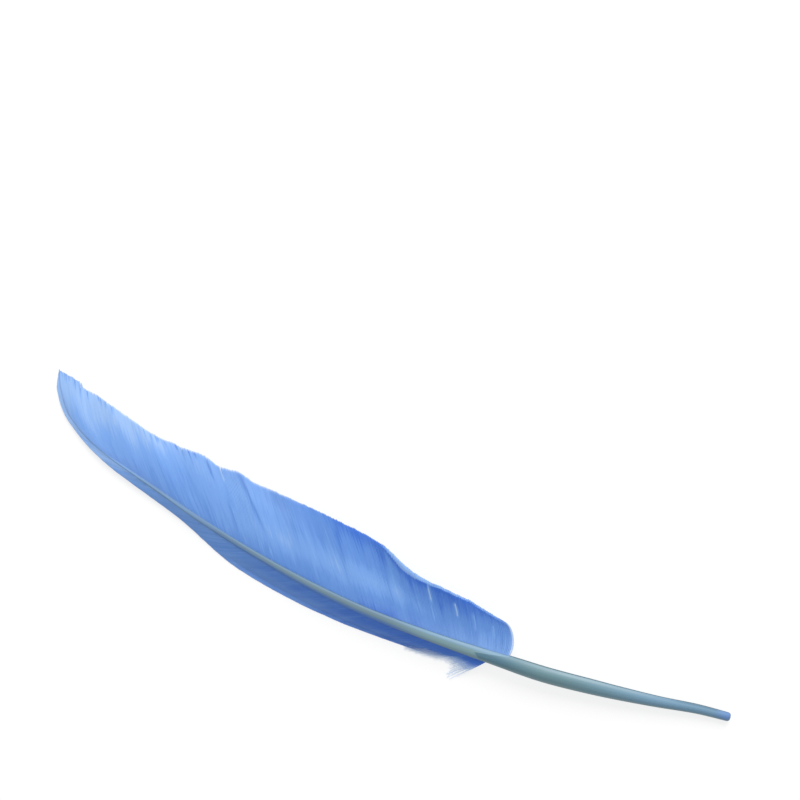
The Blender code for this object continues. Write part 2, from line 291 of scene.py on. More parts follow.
# The photograph looks straight down on this point of the table, turned by this angle. The field is
# that wide at a plane a little over the table
VIEW_CENTRE = (-0.0244, 0.0713)
VIEW_TURN = math.radians(27.107)
VIEW_FIELD = 0.320
VIEW_PLANE = 0.005
VIEW_LENS = 112.5
SENSOR = 36.0

# The table's half size, and how far the lamp stands up and right in the picture, in metres
TABLE_HALF = 3.0
LAMP_UP, LAMP_RIGHT = 1.05, 0.3


def along(pairs, at):
    """A smooth curve through the pairs, read at distances from the tip."""
    x, y = np.array(pairs, float).T
    at = np.clip(np.asarray(at, float), x[0], x[-1])
    i = np.clip(np.searchsorted(x, at, side="right") - 1, 0, len(x) - 2)
    low = np.maximum(np.arange(len(x)) - 1, 0)
    high = np.minimum(np.arange(len(x)) + 1, len(x) - 1)
    slope = (y[high] - y[low]) / (x[high] - x[low])
    span = x[i + 1] - x[i]
    t = (at - x[i]) / span
    bend = span * t * (1 - t) * (slope[i] * (1 - t) - slope[i + 1] * t)
    return y[i] * (1 + 2 * t) * (1 - t) ** 2 + y[i + 1] * t * t * (3 - 2 * t) + bend


def smooth_step(low, high, value):
    """From 0 at the first value to 1 at the second, eased at both, also where the first is greater."""
    share = np.clip((value - low) / (high - low), 0, 1)
    return share * share * (3 - 2 * share)


def in_frame(points):
    """Points of the feather's own line, in millimetres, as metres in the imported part's frame."""
    return (np.asarray(points, float) + TO_FRAME) * MM


def soft_noise(rng, rows, columns, row_step, column_step):
    """A smooth random field from -1 to 1 over rows of barbs and columns along them."""
    high = int(rows / row_step) + 3
    wide = int(columns / column_step) + 3
    grid = rng.uniform(-1, 1, (high, wide))
    r = np.arange(rows)[:, None] / row_step
    c = np.arange(columns)[None, :] / column_step
    r0, c0 = r.astype(int), c.astype(int)
    fr = smooth_step(0, 1, r - r0)
    fc = smooth_step(0, 1, c - c0)
    near = grid[r0, c0] * (1 - fc) + grid[r0, c0 + 1] * fc
    far = grid[r0 + 1, c0] * (1 - fc) + grid[r0 + 1, c0 + 1] * fc
    return near * (1 - fr) + far * fr


def shaft_height(at):
    """Height of the shaft's middle line, an arch from the tip to the quill's end."""
    quill_height = SHAFT_WIDTH[-1][1] / 2
    before = CREST_HEIGHT - (CREST_HEIGHT - TIP_HEIGHT) * ((CREST_AT - at) / CREST_AT) ** 2
    after = CREST_HEIGHT - (CREST_HEIGHT - quill_height) * ((at - CREST_AT) / (LENGTH - CREST_AT)) ** 2
    return np.where(at < CREST_AT, before, after)


def shaft_across(at):
    """Unit vector over the shaft, towards the wide vane, seen from above."""
    step = 0.5
    before, after = np.maximum(at - step, 0), np.minimum(at + step, LENGTH)
    rise = along(SHAFT_LINE, after) - along(SHAFT_LINE, before)
    run = np.hypot(after - before, rise)
    return -rise / run, (after - before) / run


def even_roots(end, spacing):
    """Distances from the tip of barbs that leave the shaft evenly along its line."""
    fine = np.linspace(0, end, 4000)
    steps = np.hypot(np.diff(fine), np.diff(along(SHAFT_LINE, fine)))
    run = np.concatenate([[0], np.cumsum(steps)])
    count = int(run[-1] / spacing)
    return np.interp(np.linspace(0.2 * spacing, run[-1], count), run, fine)


def barb_paths(start, end, bend, t):
    """Barbs seen from above, which leave and end at the bend, in degrees, from their straight lines."""
    run, rise = (end - start).T
    turn = np.radians(bend)
    cos, sin = np.cos(turn), np.sin(turn)
    leave = np.stack([run * cos + rise * sin, rise * cos - run * sin], 1)[:, None]
    arrive = np.stack([run * cos - rise * sin, rise * cos + run * sin], 1)[:, None]
    t = t[..., None]
    h0, h1 = (1 + 2 * t) * (1 - t) ** 2, t * t * (3 - 2 * t)
    g0, g1 = t * (1 - t) ** 2, -t * t * (1 - t)
    return h0 * start[:, None] + h1 * end[:, None] + g0 * leave + g1 * arrive


def barb_columns(steps):
    """Shares of a barb's length for its sections, closer together by its end."""
    even = np.linspace(0, 1, steps)
    return 1 - (1 - even) * (0.45 + 0.55 * (1 - even))


def swell(at):
    """The slow rise and dip of the wide vane from one bundle of barbs to the next."""
    return SWELL_HEIGHT * (np.sin(at / 7.1) + 0.7 * np.sin(at / 3.4 + 1))


def unit(vectors):
    """The vectors at length one."""
    return vectors / np.maximum(np.linalg.norm(vectors, axis=-1, keepdims=True), 1e-9)


def lie_of(points, roll):
    """Each barb's upward normal from its neighbours, rolled about the barb by some degrees."""
    tangent = unit(np.gradient(points, axis=1))
    beside = np.gradient(points, axis=0)
    up = unit(np.cross(tangent, beside))
    up *= np.where(up[..., 2:] < 0, -1, 1)
    side = np.cross(tangent, up)
    angle = np.radians(roll)[..., None]
    return unit(up * np.cos(angle) + side * np.sin(angle))


def spacing_of(points):
    """Distance between neighbouring barbs, square to them."""
    tangent = unit(np.gradient(points, axis=1))
    beside = np.gradient(points, axis=0)
    lengthwise = (beside * tangent).sum(-1, keepdims=True)
    return np.linalg.norm(beside - tangent * lengthwise, axis=-1)


def barb_ends(at, out, reach_pairs, edge_pairs):
    """Starts and ends of barbs seen from above, with the starts out from the shaft's line by a share.

    Gives as well where they end along the feather, their lengths and the shaft's half width.
    """
    across = np.stack(shaft_across(at), 1)
    half = along(SHAFT_WIDTH, at)[:, None] / 2
    start = np.stack([at, along(SHAFT_LINE, at)], 1) + across * half * out[:, None]
    reach = along(reach_pairs, at)
    end = np.stack([reach, along(edge_pairs, reach)], 1)
    return start, end, reach, np.hypot(*(end - start).T), half[:, 0]


def wide_barbs(rng, at):
    """The wide vane's barbs as they lie before they part or fold.

    Gives the shares t of their lengths at their sections, their points, their lengths, where they
    end along the feather and how far each section is from its barb's end.
    """
    count, steps = len(at), WIDE_STEPS
    start, end, reach, length, half = barb_ends(at, along(ATTACH_SIDE, at), WIDE_REACH, WIDE_EDGE)
    size = np.minimum(length / FULL_BARB, 1)[:, None]
    uneven = END_WAVE * soft_noise(rng, count, 1, 5, 1)[:, 0] + END_JITTER * rng.uniform(-1, 1, count)
    counted = np.maximum(length, SHORT_BARB)
    reached = 1 - np.clip(END_SHORT + uneven, 0, None) / counted + END_PAST / counted
    t = barb_columns(steps)[None] * reached[:, None]
    flat = barb_paths(start, end, along(WIDE_BEND, at), t)

    attach = (shaft_height(at) + half * along(ATTACH_HEIGHT, at))[:, None]
    under = (attach - SHEET_THICKNESS / 2) * (1 - t) + along(WIDE_EDGE_UNDERSIDE, reach)[:, None] * t
    under += (4 * t * (1 - t) * along(WIDE_CAMBER, reach)[:, None] + swell(at)[:, None] * t) * size
    inward = (reached[:, None] - t) * length[:, None]
    curled = np.clip(1 - inward / EDGE_CURL_WIDTH, 0, 1) ** 2
    under -= along(EDGE_CURL, reach)[:, None] * curled * size
    under += WIDE_WAVE * soft_noise(rng, count, steps, 9, 8) * size * t
    return t, np.dstack([flat, under + SHEET_THICKNESS / 2]), length, reach, inward


def part_and_fold(at, t, points):
    """Moves barbs apart at the openings and over each other at the folds.

    Gives the moved points, then how strong each fold's low side and its high side are there, for the painted
    shade and highlight.
    """
    moved = points.copy()
    for root, opens, closes, gap, fade in OPENINGS:
        distance = (at - root)[:, None]
        share = np.clip((t - opens) / (closes - opens), 0, 1)
        shape = np.sin(np.pi * share) if closes <= 1 else smooth_step(opens, 1, t)
        side = np.where(distance < 0, -1, 1)
        moved[..., 0] += 0.5 * gap * side * np.exp(-np.abs(distance) / fade) * shape
    low_side_shade, high_side_highlight = np.zeros(t.shape), np.zeros(t.shape)
    for by_shaft, by_edge, begins, ends, breadth, dark, light in FOLDS:
        distance = at[:, None] - by_shaft - (by_edge - by_shaft) * t
        shape = smooth_step(begins, begins + FOLD_BEGINS, t) * (1 - smooth_step(ends - FOLD_ENDS, ends, t))
        step_up = np.clip(distance / FOLD_STEP, -1, 1) * np.exp(-np.abs(distance) / (2.5 * breadth))
        moved[..., 2] += FOLD_HEIGHT * dark * step_up * shape
        low_side_shade += dark * shape * np.exp(-((distance + 0.4 * breadth) / breadth) ** 2 / 2)
        high_side_highlight += light * shape * np.exp(-((distance - 1.6 * breadth) / breadth) ** 2 / 2)
    return moved, low_side_shade, high_side_highlight


def slipped_barbs(at, t):
    """How strong the painted highlights along single slipped barbs are."""
    slipped = np.zeros(t.shape)
    for by_shaft, by_edge, begins, ends, strength in SLIPPED_HIGHLIGHTS:
        distance = at[:, None] - by_shaft - (by_edge - by_shaft) * t
        shape = smooth_step(begins, begins + 0.1, t) * (1 - smooth_step(ends - 0.1, ends, t))
        slipped += strength * shape * np.exp(-(distance / SLIPPED_BREADTH) ** 2)
    return slipped


def wide_vane_tone(rng, at, t, reach, inward, grey):
    """How light the wide vane is between its folds: tables, painted satin highlight, worn ends, painted
    crease shade.
    """
    count, steps = t.shape
    along_edge = reach[:, None] * t + at[:, None] * (1 - t)
    tone = along(WIDE_TONE_ROOT, along_edge) * (1 - t) ** 2
    tone += along(WIDE_TONE_HALF, along_edge) * 2 * t * (1 - t) + along(WIDE_TONE_EDGE, along_edge) * t * t
    # painted satin highlight: a lighter band at a share of each barb between the shaft and halfway
    tone += along(SATIN_HIGHLIGHT, along_edge) * np.exp(-((t - SATIN_HIGHLIGHT_PLACE) / SATIN_HIGHLIGHT_BREADTH) ** 2)
    tone -= GREY_DARK * grey * smooth_step(20, 34, at)[:, None]
    worn_ends = smooth_step(7, 0, inward) * smooth_step(95, 40, reach)[:, None]
    tone += 0.26 * worn_ends * soft_noise(rng, count, steps, 1.3, 30)
    # painted shade in fine creases at some barbs' ends
    creased = (rng.uniform(0, 1, count) < CREASED_SHARE) * rng.uniform(*CREASE_SHADE, count)
    creased = creased * smooth_step(100, 70, reach)
    tone -= creased[:, None] * smooth_step(rng.uniform(*CREASE_REACH, count)[:, None], 0.4, inward)
    middle = smooth_step(118, 95, reach)[:, None] * smooth_step(55, 75, reach)[:, None]
    tone -= 0.1 * smooth_step(0.7, 0.9, t) * middle
    return tone


def wide_vane_guides(sizes):
    """Centre lines of the wide vane's barbs, with their widths, lie, tone, painted rim light and pale ends.
    """
    rng = np.random.default_rng(SEED)
    at = even_roots(WIDE_END, sizes.barb_spacing / MM)
    t, base, length, reach, inward = wide_barbs(rng, at)
    count, steps = t.shape
    moved, low_side_shade, high_side_highlight = part_and_fold(at, t, base)
    in_groups, in_bundles, one_by_one = WIDE_ROLL
    roll = in_groups * soft_noise(rng, count, steps, 2.5, 30)
    roll += in_bundles * soft_noise(rng, count, steps, 8, 14)
    roll += one_by_one * rng.uniform(-1, 1, (count, 1))
    roll += FOLD_ROLL_HIGH * high_side_highlight - FOLD_ROLL_LOW * low_side_shade
    grey = along(ROOT_GREY, at)[:, None] * np.exp(-(t * length[:, None] / GREY_BREADTH) ** 2)
    tone = wide_vane_tone(rng, at, t, reach, inward, grey)
    # painted shade on the folds' low sides and painted highlights on their high sides and along slipped barbs
    tone += FOLD_HIGHLIGHT * high_side_highlight - FOLD_SHADE * low_side_shade + SLIPPED_HIGHLIGHT * slipped_barbs(at, t)
    heading = np.arctan2(*(base[:, -1, :2] - base[:, -3, :2]).T)
    lean = np.maximum(np.abs(np.cos(heading)), 0.4)
    inset = inward * lean[:, None] / along(RIM_WIDTH, reach)[:, None]
    # strength of the painted light on the thin curled edge
    rim = along(RIM_LIGHT_STRENGTH, reach) * (0.85 + 0.15 * soft_noise(rng, count, 1, 3, 1)[:, 0])
    worn_edge = smooth_step(5, 25, reach) * smooth_step(118, 95, reach)
    # the last barbs at the base are paler: painted light let through their thin ends
    pale = 0.55 * smooth_step(WIDE_END - 0.8, WIDE_END, at)[:, None] * smooth_step(0, 0.12, t)
    pale += worn_edge[:, None] * (0.24 * smooth_step(1.3, 0.3, inward) + 0.05 * smooth_step(0.6, 0.9, t))
    pale += GREY_PALE * grey
    return pack_guides(
        moved, spacing_of(base), lie_of(moved, roll), length, along(FRINGE, reach)[:, None],
        tone=tone, rim=rim, inset=inset, pale=pale,
    )


def narrow_barbs(at, t, loose):
    """Middle lines of the narrow vane's barbs at shares t of their lengths.

    Gives them seen from above, then their undersides' heights, how frayed they are and their lengths.
    """
    tucked = smooth_step(50, 28, at)
    out = TUCKED_SIDE * tucked - along(ATTACH_SIDE, at)
    start, end, reach, length, half = barb_ends(at, out, NARROW_REACH, NARROW_EDGE)
    in_tuft = smooth_step(186, 194, at)
    uneven = (0.1 + 0.1 * loose) / np.maximum(length, SHORT_BARB)
    reached = along(TUFT_REACH, at) * (1 - uneven + 0.1 * in_tuft * (loose - 0.5))
    t = t * reached[:, None]
    flat = barb_paths(start, end, along(NARROW_BEND, at), t)
    whole = (along(TUFT_WHOLE, at) * (1 + 0.2 * in_tuft * loose))[:, None]
    frayed = smooth_step(whole, whole + 0.55, t)
    attach = (shaft_height(at) + half * along(ATTACH_HEIGHT, at) - TUCKED_HEIGHT * tucked)[:, None]
    resting = smooth_step(100, 115, at)[:, None]
    eased = t * (1 - resting) + np.minimum(t / MARGIN_SHARE, 1) * resting
    edge = along(NARROW_EDGE_UNDERSIDE, reach)[:, None]
    under = (attach - SHEET_THICKNESS / 2) * (1 - eased) + edge * eased
    return flat, under, frayed, length


def narrow_vane_guides(sizes):
    """Guides of the narrow vane's barbs, which slope down to the table."""
    rng = np.random.default_rng(SEED + 1)
    at = even_roots(NARROW_END, sizes.barb_spacing / MM * 1.15)
    count, steps = len(at), NARROW_STEPS
    shares = barb_columns(steps)[None]
    loose = np.clip(soft_noise(rng, count, 1, 3, 1)[:, 0] + rng.uniform(-0.6, 0.6, count), -1, 1)
    flat, under, frayed, length = narrow_barbs(at, shares, loose)
    flat[..., 0] += 0.6 * frayed * soft_noise(rng, count, steps, 1.5, 9)
    under += NARROW_WAVE * soft_noise(rng, count, steps, 6, 6)
    base = np.dstack([flat, np.maximum(under, -0.1) + SHEET_THICKNESS / 2])
    in_groups, in_bundles = NARROW_ROLL
    roll = in_groups * soft_noise(rng, count, steps, 3, 30)
    roll += in_bundles * soft_noise(rng, count, steps, 12, 14)
    lie = lie_of(base, roll)
    crowded = (smooth_step(80, 45, at)[:, None] * smooth_step(0.5, 0.1, shares))[..., None]
    lie = unit(lie * (1 - crowded) + np.array((0, 0, 1)) * crowded)
    tone = along(NARROW_TONE, along(NARROW_REACH, at))[:, None] + 0.8 * frayed
    # painted light on the first barbs' roots near the tip, against the shade of the step beside the wide vane
    tone += 0.25 * smooth_step(50, 30, at)[:, None] * smooth_step(0.35, 0.05, shares)
    outwards = smooth_step(0.25, 0.7, shares)
    # painted shadow of the shaft on the narrow vane beside it
    tone -= 0.12 * smooth_step(85, 110, at)[:, None] * (1 - outwards)
    pale = np.maximum(frayed, 0.04 * smooth_step(95, 115, at)[:, None] * outwards)
    guides = pack_guides(
        base, spacing_of(base), lie, length, 0.6, tone=tone, rim=0 * at, inset=1 + 0 * tone, pale=pale,
    )
    guides["half_width"] *= 1 - 0.75 * smooth_step(0.35, 1, frayed)
    return guides


def pack_guides(points, spacing, lie, length, fringe, **shades):
    """Guide values by name, one row for each barb, with the blades tapered over their fringe."""
    count, steps = spacing.shape
    t = barb_columns(steps)[None]
    left = (1 - t) * length[:, None]
    taper = 0.28 + 0.72 * smooth_step(0, 1, (left + 0.05) / np.minimum(fringe, 0.3 * length[:, None] + 0.1))
    half_width = np.clip(spacing * 0.5, BLADE_LEAST, BLADE_MOST) * taper
    guides = {
        "points": points,
        "half_width": np.maximum(half_width, BLADE_POINT),
        "lie": lie,
        "run": t * length[:, None],
        "barb": np.arange(count)[:, None] + 0 * t,
    }
    for name, values in shades.items():
        guides[name] = values if values.ndim == 2 else values[:, None] + 0 * t
    return guides


def barbules_on(rng, path, number, density):
    """Fine barbules on both sides of a soft strand, from a share of its length on."""
    lines = []
    steps = len(path)
    reach = np.linalg.norm(np.diff(path, axis=0), axis=1).sum()
    count = int(reach * (1 - BARBULE_FIRST) * density)
    for k in range(count):
        t = BARBULE_FIRST + (1 - BARBULE_FIRST) * (k + rng.uniform(0, 1)) / count
        place = min(int(t * (steps - 1)), steps - 2)
        ahead = path[place + 1] - path[place]
        base = path[place] + ahead * (t * (steps - 1) - place)
        side = 1 if k % 2 else -1
        spread = math.atan2(ahead[1], ahead[0]) + side * math.radians(rng.uniform(*BARBULE_ANGLE))
        long = rng.uniform(*BARBULE_LONG) * (1 - 0.45 * t)
        lift = rng.uniform(-BARBULE_LIFT, BARBULE_LIFT)
        bend = math.radians(rng.uniform(-BARBULE_BEND, BARBULE_BEND))
        twig = [base]
        for m in range(1, BARBULE_PARTS + 1):
            turn = spread + bend * m / BARBULE_PARTS
            step = np.array((math.cos(turn), math.sin(turn), lift)) * long / BARBULE_PARTS
            twig.append(twig[-1] + step)
        twig = np.array(twig)
        twig[:, 1] = np.maximum(twig[:, 1], DOWN_LIMIT)
        twig[:, 2] = np.maximum(twig[:, 2], BARBULE_FLOOR)
        lines.append((twig, BARBULE_HALF, 0.3 + 0.6 * t, min(0.5 + 0.6 * t, 1.0), number))
    return lines


def down_guides(sizes):
    """Down under the narrow vane's base: soft strands that follow its barbs and come out past their ends.

    Each line is its points, its half width, its shades at its start and end, and its strand's number.
    """
    rng = np.random.default_rng(SEED + 2)
    count, steps = sizes.down_strands, DOWN_STEPS
    shares = np.linspace(0, 1, steps)[None]
    at = np.linspace(DOWN_START, NARROW_END - 0.4, count) + rng.uniform(-0.3, 0.3, count)
    past = (rng.uniform(0.85, 1.02, count) + 0.2 * smooth_step(202, 193, at))[:, None]
    flat, under = narrow_barbs(at, shares * past, rng.uniform(-1, 1, count))[:2]
    strayed = shares ** 2
    flat[..., 0] += 1.7 * strayed * soft_noise(rng, count, steps, 1, 9)
    flat[..., 1] += 0.5 * strayed * soft_noise(rng, count, steps, 1, 9)
    flat[..., 1] = np.maximum(flat[..., 1], DOWN_LIMIT)
    lines = []
    for n in range(count):
        path = np.column_stack([flat[n], np.maximum(under[n] - 0.1, STRAND_FLOOR)])
        lines.append((path, STRAND_HALF, 0.2, 1.0, n))
        lines += barbules_on(rng, path, n, sizes.down_density)
    return lines


def link_object(name, data):
    """A new object in the scene that shows the data."""
    thing = bpy.data.objects.new(name, data)
    bpy.context.scene.collection.objects.link(thing)
    return thing


def attribute(mesh, name, kind, values):
    """Stores one value or vector for each point of the mesh."""
    layer = mesh.attributes.new(name, kind, "POINT")
    key = "vector" if kind == "FLOAT_VECTOR" else "value"
    layer.data.foreach_set(key, np.ascontiguousarray(values, np.float32).ravel())


def guide_object(name, guides):
    """A mesh of loose edges, one chain for each barb, that carries the guides' values."""
    points = guides["points"]
    count, steps = points.shape[:2]
    index = np.arange(count * steps).reshape(count, steps)
    edges = np.stack([index[:, :-1].ravel(), index[:, 1:].ravel()], 1)
    mesh = bpy.data.meshes.new(name)
    mesh.from_pydata(in_frame(points.reshape(-1, 3)).tolist(), edges.tolist(), [])
    for key, values in guides.items():
        if key == "points":
            continue
        kind = "FLOAT_VECTOR" if values.ndim == 3 else "FLOAT"
        scale = MM if key == "half_width" else 1.0
        attribute(mesh, key, kind, values.reshape(count * steps, -1) * scale)
    return link_object(name, mesh)


def strand_object(name, lines):
    """A mesh of loose edges for strands of different lengths."""
    points, edges, width, shade, strand, lie = [], [], [], [], [], []
    for path, half, first, last, number in lines:
        start = len(points)
        steps = len(path)
        for k, point in enumerate(path):
            t = k / (steps - 1)
            points.append(point)
            width.append(half * (1 - 0.75 * t) * MM)
            shade.append(first + (last - first) * t)
            strand.append(number)
            lie.append((0.0, 0.0, 1.0))
        edges += [(start + k, start + k + 1) for k in range(steps - 1)]
    mesh = bpy.data.meshes.new(name)
    mesh.from_pydata(in_frame(points).tolist(), edges, [])
    attribute(mesh, "half_width", "FLOAT", width)
    attribute(mesh, "shade", "FLOAT", shade)
    attribute(mesh, "barb", "FLOAT", strand)
    attribute(mesh, "lie", "FLOAT_VECTOR", lie)
    return link_object(name, mesh)


def set_inputs(tree, node, inputs):
    """Links or sets a node's inputs, which are given by name or by number."""
    for key, value in inputs.items():
        if isinstance(value, bpy.types.NodeSocket):
            tree.links.new(value, node.inputs[key])
        else:
            node.inputs[key].default_value = value


def add_node(tree, kind, inputs=None, **settings):
    """A new node with its settings and inputs."""
    node = tree.nodes.new(kind)
    for key, value in settings.items():
        setattr(node, key, value)
    set_inputs(tree, node, inputs or {})
    return node


def named_value(tree, name, kind="FLOAT"):
    """A value that the guides carry."""
    node = add_node(tree, "GeometryNodeInputNamedAttribute", {"Name": name}, data_type=kind)
    return node.outputs["Attribute"]


def math_node(tree, operation, *values):
    """The result of one sum or function of links and numbers."""
    return add_node(tree, "ShaderNodeMath", dict(enumerate(values)), operation=operation).outputs[0]


def blade_tree():
    """Turns each guide chain into a closed blade, as wide as the guide says and lying as it says."""
    tree = bpy.data.node_groups.new("barb_blades", "GeometryNodeTree")
    face = tree.interface
    face.new_socket("Guides", in_out="INPUT", socket_type="NodeSocketGeometry")
    for name, value, low, high in (
        ("Width", 1.3, 0.2, 3.0), ("Thickness", 0.3, 0.02, 1.5), ("Shingle", 0.12, -1.0, 1.0),
    ):
        socket = face.new_socket(name, in_out="INPUT", socket_type="NodeSocketFloat")
        socket.default_value, socket.min_value, socket.max_value = value, low, high
    sides = face.new_socket("Sides", in_out="INPUT", socket_type="NodeSocketInt")
    sides.default_value, sides.min_value, sides.max_value = BARB_SIDES, 3, 12
    face.new_socket("Material", in_out="INPUT", socket_type="NodeSocketMaterial")
    face.new_socket("Blades", in_out="OUTPUT", socket_type="NodeSocketGeometry")
    given = add_node(tree, "NodeGroupInput").outputs

    circle = add_node(tree, "GeometryNodeCurvePrimitiveCircle", {
        "Resolution": given["Sides"], "Radius": 1.0,
    })
    position = add_node(tree, "GeometryNodeInputPosition")
    parts = add_node(tree, "ShaderNodeSeparateXYZ", {0: position.outputs[0]})
    wide = math_node(tree, "MULTIPLY", parts.outputs["X"], given["Width"])
    thick = math_node(tree, "MULTIPLY", parts.outputs["Y"], given["Thickness"])
    tipped = math_node(tree, "MULTIPLY", parts.outputs["X"], given["Shingle"])
    height = math_node(tree, "ADD", thick, tipped)
    section = add_node(tree, "ShaderNodeCombineXYZ", {"X": height, "Y": wide})
    shaped = add_node(tree, "GeometryNodeSetPosition", {
        "Geometry": circle.outputs["Curve"], "Position": section.outputs[0],
    })
    across = add_node(tree, "GeometryNodeStoreNamedAttribute", {
        "Geometry": shaped.outputs[0], "Name": "across", "Value": parts.outputs["X"],
    }, data_type="FLOAT", domain="POINT")

    curves = add_node(tree, "GeometryNodeMeshToCurve", {"Mesh": given["Guides"]})
    laid = add_node(tree, "GeometryNodeSetCurveNormal", {
        "Curve": curves.outputs[0], "Normal": named_value(tree, "lie", "FLOAT_VECTOR"),
    }, mode="FREE")
    swept = add_node(tree, "GeometryNodeCurveToMesh", {
        "Curve": laid.outputs[0], "Profile Curve": across.outputs[0],
        "Scale": named_value(tree, "half_width"), "Fill Caps": True,
    })
    real = add_node(tree, "GeometryNodeRealizeInstances", {0: swept.outputs[0]})
    dressed = add_node(tree, "GeometryNodeSetMaterial", {
        "Geometry": real.outputs[0], "Material": given["Material"],
    })
    add_node(tree, "NodeGroupOutput", {0: dressed.outputs[0]})
    return tree


def grow_blades(guide, name, material, sides, **sizes):
    """Runs the blade tree on the guide and keeps its result as a plain mesh."""
    tree = bpy.data.node_groups.get("barb_blades") or blade_tree()
    modifier = guide.modifiers.new("blades", "NODES")
    modifier.node_group = tree
    items = tree.interface.items_tree
    sockets = {item.name: item.identifier for item in items if item.item_type == "SOCKET"}
    modifier[sockets["Sides"]] = sides
    modifier[sockets["Material"]] = material
    for key, value in sizes.items():
        modifier[sockets[key]] = value
    graph = bpy.context.evaluated_depsgraph_get()
    mesh = bpy.data.meshes.new_from_object(guide.evaluated_get(graph))
    mesh.name = name
    guide.modifiers.remove(modifier)
    old = guide.data
    bpy.data.objects.remove(guide)
    bpy.data.meshes.remove(old)
    turn_outwards(mesh)
    mesh.shade_smooth()
    return link_object(name, mesh)


def turn_outwards(mesh):
    """Flips the whole mesh if its faces point inwards."""
    mesh.calc_loop_triangles()
    points = np.empty(len(mesh.vertices) * 3, np.float32)
    mesh.vertices.foreach_get("co", points)
    corners = np.empty(len(mesh.loop_triangles) * 3, np.int32)
    mesh.loop_triangles.foreach_get("vertices", corners)
    a, b, c = points.reshape(-1, 3)[corners.reshape(-1, 3)].transpose(1, 0, 2)
    if (np.cross(a, b) * c).sum() < 0:
        mesh.flip_normals()


def strip_map(mesh, barbs, steps, sides):
    """A map for baking: one strip for each barb, its length along u and its section along v."""
    layer = mesh.uv_layers.new(name="OFBake")
    corner = np.empty(len(mesh.loops), np.int32)
    mesh.loops.foreach_get("vertex_index", corner)
    ring, side = np.divmod(corner, sides)
    barb, step = np.divmod(ring, steps)
    sizes = np.empty(len(mesh.polygons), np.int32)
    mesh.polygons.foreach_get("loop_total", sizes)
    face = np.repeat(np.arange(len(sizes)), sizes)
    low = np.full(len(sizes), sides)
    high = np.full(len(sizes), -1)
    np.minimum.at(low, face, side)
    np.maximum.at(high, face, side)
    wraps = (sizes == 4) & (low == 0) & (high == sides - 1)
    turned = side + np.where(wraps[face] & (side == 0), sides, 0)
    margin = 0.12
    v = (barb + margin + (1 - 2 * margin) * turned / sides) / barbs
    u = 0.004 + 0.992 * step / (steps - 1)
    cap = sizes[face] != 4
    u = np.where(cap, np.clip(u + 0.002 * np.cos(side * 2 * math.pi / sides), 0, 1), u)
    layer.data.foreach_set("uv", np.stack([u, v], 1).astype(np.float32).ravel())


def new_material(name):
    """A new material, its tree and its shader."""
    material = bpy.data.materials.new(name)
    material.use_nodes = True
    tree = material.node_tree
    return material, tree, tree.nodes["Principled BSDF"]


def read_attribute(tree, name):
    """A value that the piece's points carry."""
    node = add_node(tree, "ShaderNodeAttribute", attribute_type="GEOMETRY", attribute_name=name)
    return node.outputs["Fac"]


def ramp(tree, value, stops):
    """Colours that follow each other smoothly as the value grows."""
    node = add_node(tree, "ShaderNodeValToRGB", {"Fac": value})
    node.color_ramp.interpolation = "EASE"
    while len(node.color_ramp.elements) < len(stops):
        node.color_ramp.elements.new(0.5)
    for element, (place, colour) in zip(node.color_ramp.elements, stops):
        element.position = place
        element.color = (*colour[:3], 1.0)
    return node.outputs["Color"]


def map_range(tree, value, low, high, to_low=0.0, to_high=1.0):
    """Eases the value's range from low to high into another range."""
    inputs = {"Value": value, "From Min": low, "From Max": high, "To Min": to_low, "To Max": to_high}
    node = add_node(tree, "ShaderNodeMapRange", inputs, interpolation_type="SMOOTHSTEP")
    return node.outputs["Result"]


def mix_colour(tree, share, first, second, blend="MIX"):
    """The first colour with a share of the second."""
    inputs = {0: share}
    for place, value in ((6, first), (7, second)):
        inputs[place] = value if isinstance(value, bpy.types.NodeSocket) else (*value[:3], 1.0)
    return add_node(tree, "ShaderNodeMix", inputs, data_type="RGBA", blend_type=blend).outputs[2]


def dye_streaks_group():
    """Uneven dye and wear drawn out along a fibre: finer and broader streaks from -1 to 1."""
    name = "dye_streaks"
    if name in bpy.data.node_groups:
        return bpy.data.node_groups[name]
    tree = bpy.data.node_groups.new(name, "ShaderNodeTree")
    face = tree.interface
    labels = (("Run", 0.0), ("Fibre", 0.0), ("Stretch", 12.0), ("Fine", 0.5), ("Broad", 0.5))
    for label, value in labels:
        socket = face.new_socket(label, in_out="INPUT", socket_type="NodeSocketFloat")
        socket.default_value = value
    face.new_socket("Streak", in_out="OUTPUT", socket_type="NodeSocketFloat")
    given = add_node(tree, "NodeGroupInput").outputs
    drawn = math_node(tree, "DIVIDE", given["Run"], given["Stretch"])
    total = None
    for label, fibre_scale, run_scale, shift in (("Fine", 0.8, 1.7, 3.0), ("Broad", 0.11, 0.6, 57.0)):
        place = add_node(tree, "ShaderNodeCombineXYZ", {
            "X": math_node(tree, "MULTIPLY", drawn, run_scale),
            "Y": math_node(tree, "MULTIPLY", given["Fibre"], fibre_scale), "Z": shift,
        })
        noise = add_node(tree, "ShaderNodeTexNoise", {
            "Vector": place.outputs[0], "Scale": 1.0, "Detail": 2.0,
        })
        centred = math_node(tree, "MULTIPLY_ADD", noise.outputs["Fac"], 2.0, -1.0)
        part = math_node(tree, "MULTIPLY", centred, given[label])
        total = part if total is None else math_node(tree, "ADD", total, part)
    add_node(tree, "NodeGroupOutput", {0: total})
    return tree


def place_streaks(tree, run, fibre, stretch, fine, broad):
    """Streaks along a fibre, drawn out by the stretch."""
    inputs = {"Run": run, "Fibre": fibre, "Stretch": stretch, "Fine": fine, "Broad": broad}
    return add_node(tree, "ShaderNodeGroup", inputs, node_tree=dye_streaks_group()).outputs["Streak"]


